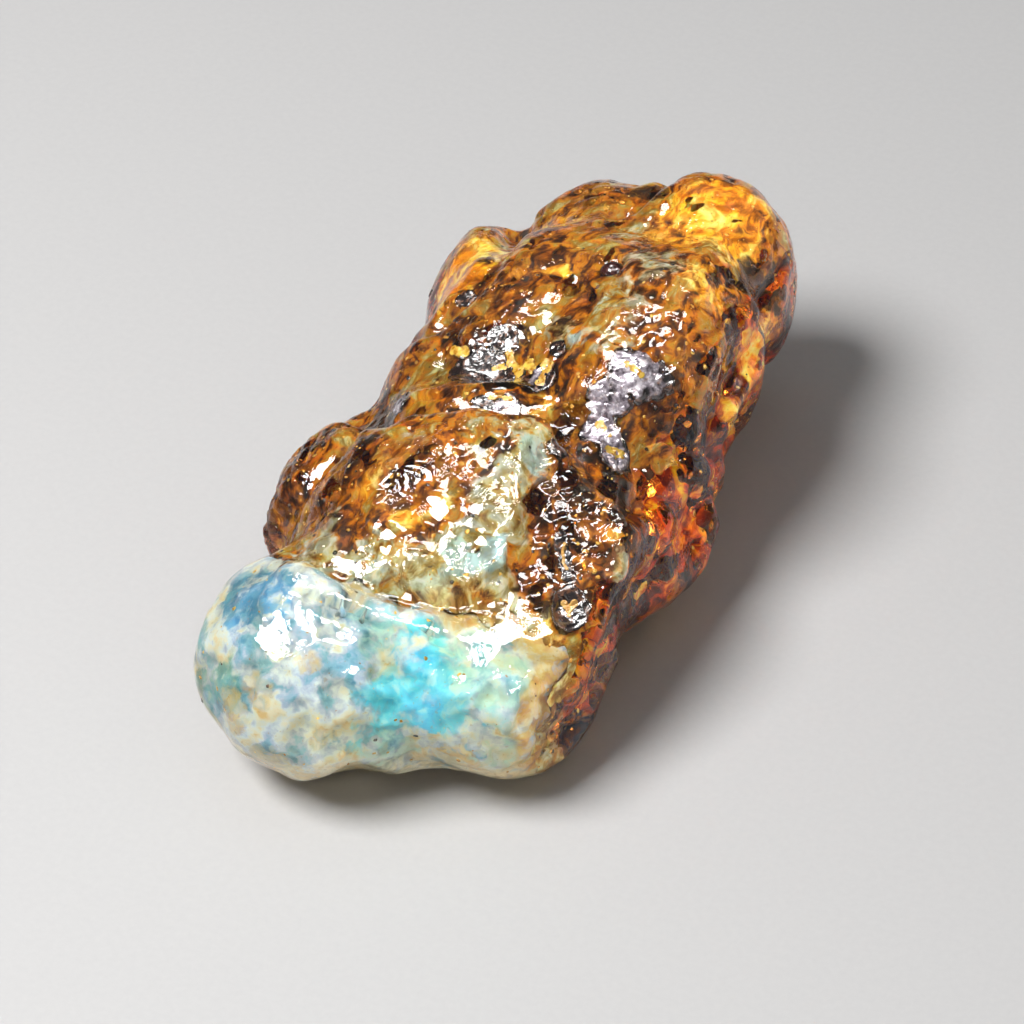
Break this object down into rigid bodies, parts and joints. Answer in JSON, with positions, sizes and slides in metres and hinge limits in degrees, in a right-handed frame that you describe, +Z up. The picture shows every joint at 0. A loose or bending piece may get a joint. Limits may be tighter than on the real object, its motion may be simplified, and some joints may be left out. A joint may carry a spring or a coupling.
{
  "type": "rough amber nugget",
  "caption": "Rough water-worn nugget of amber with a milky blue rounded end, a mottled golden-brown body and a clear broken flank, resting on a small flat foot.",
  "frame": {"origin": "on the surface that the nugget rests on, under the middle of its bounding box", "axes": "+Y along the length from the blue end to the golden end, +X out of the clear broken flank, +Z up"},
  "size_m": [0.0254, 0.054, 0.0195],
  "materials": {
    "amber": "clear to cloudy fossil resin with a wet, water-worn gloss",
    "flow_layers": "cloudy gold, brown, olive, cream and blue layers just under the skin of the resin",
    "dark_crust": "black and dark brown mineral crust in the hollows, shiny"
  },
  "bodies": {
    "root": {"amber_nugget": "amber"}
  },
  "joints": []
}
